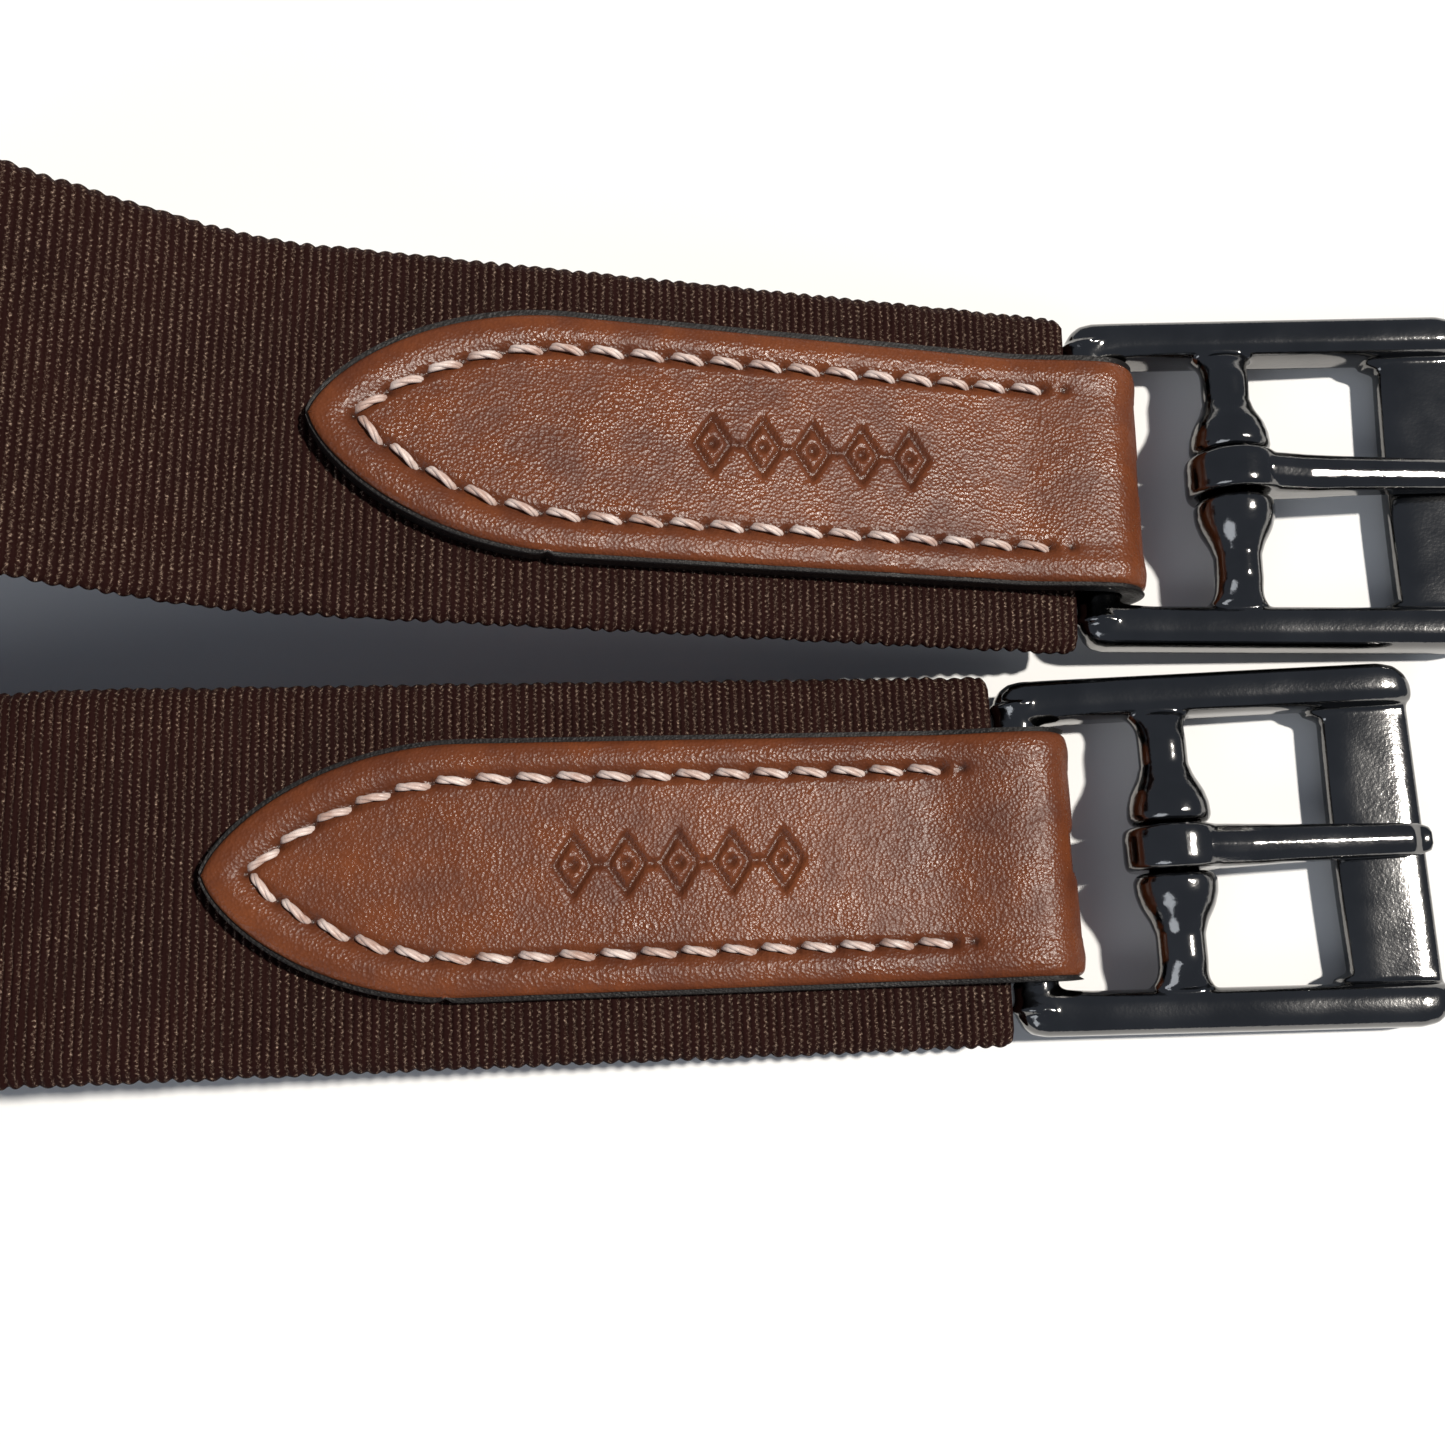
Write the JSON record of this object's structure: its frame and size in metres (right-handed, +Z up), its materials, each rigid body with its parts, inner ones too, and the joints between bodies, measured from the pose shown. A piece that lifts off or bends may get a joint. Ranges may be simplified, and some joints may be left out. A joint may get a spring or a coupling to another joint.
{
  "type": "saddle girth",
  "caption": "Long padded leather saddle girth with ribbed elastic straps ending in stitched leather tabs and girth buckles, and a dee at its middle.",
  "frame": {"origin": "middle of the girth's length and width, on the surface that it lies on, lining side down", "axes": "+X along the girth towards one pair of buckles, +Y across it towards its rear edge, +Z up out of the outer side"},
  "size_m": [1.35, 0.115, 0.0561],
  "materials": {
    "elastic_webbing": "ribbed elastic webbing, dark brown with fine pale flecks",
    "chape_leather": "chestnut bridle leather, waxed, dark edges",
    "white_thread": "thick waxed saddle-stitching thread",
    "buckle_steel": "dark polished cast metal",
    "body_leather": "chestnut leather, semi-gloss",
    "lining_leather": "soft tan lining leather, matt",
    "padding": "felted padding",
    "body_thread": "waxed thread"
  },
  "bodies": {
    "girth_body": {"lining_leather": "lining_leather", "padding_core": "padding", "outer_leather": "body_leather", "centre_stay": "body_leather", "end_patch_right": "body_leather", "end_patch_left": "body_leather", "edge_thread": "body_thread", "stay_thread": "body_thread", "patch_thread_right": "body_thread", "patch_thread_left": "body_thread", "dee_keeper": "body_leather", "keeper_thread": "body_thread"},
    "dee": {"dee_ring": "buckle_steel"},
    "strap_right_rear": {"elastic_web_right_rear": "elastic_webbing"},
    "tab_right_rear": {"chape_right_rear": "chape_leather", "chape_stitching_right_rear": "white_thread"},
    "buckle_right_rear": {"buckle_frame_right_rear": "buckle_steel"},
    "tongue_right_rear": {"buckle_tongue_right_rear": "buckle_steel"},
    "strap_right_front": {"elastic_web_right_front": "elastic_webbing"},
    "tab_right_front": {"chape_right_front": "chape_leather", "chape_stitching_right_front": "white_thread"},
    "buckle_right_front": {"buckle_frame_right_front": "buckle_steel"},
    "tongue_right_front": {"buckle_tongue_right_front": "buckle_steel"},
    "strap_left_rear": {"elastic_web_left_rear": "elastic_webbing"},
    "tab_left_rear": {"chape_left_rear": "chape_leather", "chape_stitching_left_rear": "white_thread"},
    "buckle_left_rear": {"buckle_frame_left_rear": "buckle_steel"},
    "tongue_left_rear": {"buckle_tongue_left_rear": "buckle_steel"},
    "strap_left_front": {"elastic_web_left_front": "elastic_webbing"},
    "tab_left_front": {"chape_left_front": "chape_leather", "chape_stitching_left_front": "white_thread"},
    "buckle_left_front": {"buckle_frame_left_front": "buckle_steel"},
    "tongue_left_front": {"buckle_tongue_left_front": "buckle_steel"}
  },
  "joints": [
    {"name": "dee_swing", "type": "hinge", "parent": "girth_body", "child": "dee", "pos_m": [0, 0, 0.0152], "axis": [-1, 0, 0], "range_deg": [0, 180]},
    {"name": "strap_flex_right_rear", "type": "hinge", "parent": "girth_body", "child": "strap_right_rear", "pos_m": [0.42858, 0.02358, 0.00275], "axis": [-0.0175, -0.9998, 0], "range_deg": [-90, 90], "deforming": ["elastic_web_right_rear"]},
    {"name": "elastic_stretch_right_rear", "type": "slide", "parent": "strap_right_rear", "child": "tab_right_rear", "axis": [1, 0, 0], "range_m": [0, 0.04], "stiffness_N_per_m": 2500, "deforming": ["elastic_web_right_rear"]},
    {"name": "buckle_pivot_right_rear", "type": "hinge", "parent": "tab_right_rear", "child": "buckle_right_rear", "pos_m": [0.63354, 0.02, 0.0049], "axis": [0.0175, 0.9998, 0], "range_deg": [-105, 105]},
    {"name": "tongue_pivot_right_rear", "type": "hinge", "parent": "buckle_right_rear", "child": "tongue_right_rear", "pos_m": [0.6482, 0.01974, 0.00558], "axis": [-0.0175, -0.9998, 0], "range_deg": [0, 140]},
    {"name": "strap_flex_right_front", "type": "hinge", "parent": "girth_body", "child": "strap_right_front", "pos_m": [0.42857, -0.02341, 0.00275], "axis": [0.0175, -0.9998, 0], "range_deg": [-90, 90], "deforming": ["elastic_web_right_front"]},
    {"name": "elastic_stretch_right_front", "type": "slide", "parent": "strap_right_front", "child": "tab_right_front", "axis": [1, 0, 0], "range_m": [0, 0.04], "stiffness_N_per_m": 2500, "deforming": ["elastic_web_right_front"]},
    {"name": "buckle_pivot_right_front", "type": "hinge", "parent": "tab_right_front", "child": "buckle_right_front", "pos_m": [0.62404, -0.02, 0.0049], "axis": [-0.0175, 0.9998, 0], "range_deg": [-105, 105]},
    {"name": "tongue_pivot_right_front", "type": "hinge", "parent": "buckle_right_front", "child": "tongue_right_front", "pos_m": [0.6387, -0.01974, 0.00558], "axis": [0.0175, -0.9998, 0], "range_deg": [0, 140]},
    {"name": "strap_flex_left_rear", "type": "hinge", "parent": "girth_body", "child": "strap_left_rear", "pos_m": [-0.42858, 0.02358, 0.00275], "axis": [-0.0175, 0.9998, 0], "range_deg": [-90, 90], "deforming": ["elastic_web_left_rear"]},
    {"name": "elastic_stretch_left_rear", "type": "slide", "parent": "strap_left_rear", "child": "tab_left_rear", "axis": [-1, 0, 0], "range_m": [0, 0.04], "stiffness_N_per_m": 2500, "deforming": ["elastic_web_left_rear"]},
    {"name": "buckle_pivot_left_rear", "type": "hinge", "parent": "tab_left_rear", "child": "buckle_left_rear", "pos_m": [-0.63354, 0.02, 0.0049], "axis": [0.0175, -0.9998, 0], "range_deg": [-105, 105]},
    {"name": "tongue_pivot_left_rear", "type": "hinge", "parent": "buckle_left_rear", "child": "tongue_left_rear", "pos_m": [-0.6482, 0.01974, 0.00558], "axis": [-0.0175, 0.9998, 0], "range_deg": [0, 140]},
    {"name": "strap_flex_left_front", "type": "hinge", "parent": "girth_body", "child": "strap_left_front", "pos_m": [-0.42858, -0.02358, 0.00275], "axis": [0.0175, 0.9998, 0], "range_deg": [-90, 90], "deforming": ["elastic_web_left_front"]},
    {"name": "elastic_stretch_left_front", "type": "slide", "parent": "strap_left_front", "child": "tab_left_front", "axis": [-1, 0, 0], "range_m": [0, 0.04], "stiffness_N_per_m": 2500, "deforming": ["elastic_web_left_front"]},
    {"name": "buckle_pivot_left_front", "type": "hinge", "parent": "tab_left_front", "child": "buckle_left_front", "pos_m": [-0.63354, -0.02, 0.0049], "axis": [-0.0175, -0.9998, 0], "range_deg": [-105, 105]},
    {"name": "tongue_pivot_left_front", "type": "hinge", "parent": "buckle_left_front", "child": "tongue_left_front", "pos_m": [-0.6482, -0.01974, 0.00558], "axis": [0.0175, 0.9998, 0], "range_deg": [0, 140]}
  ]
}
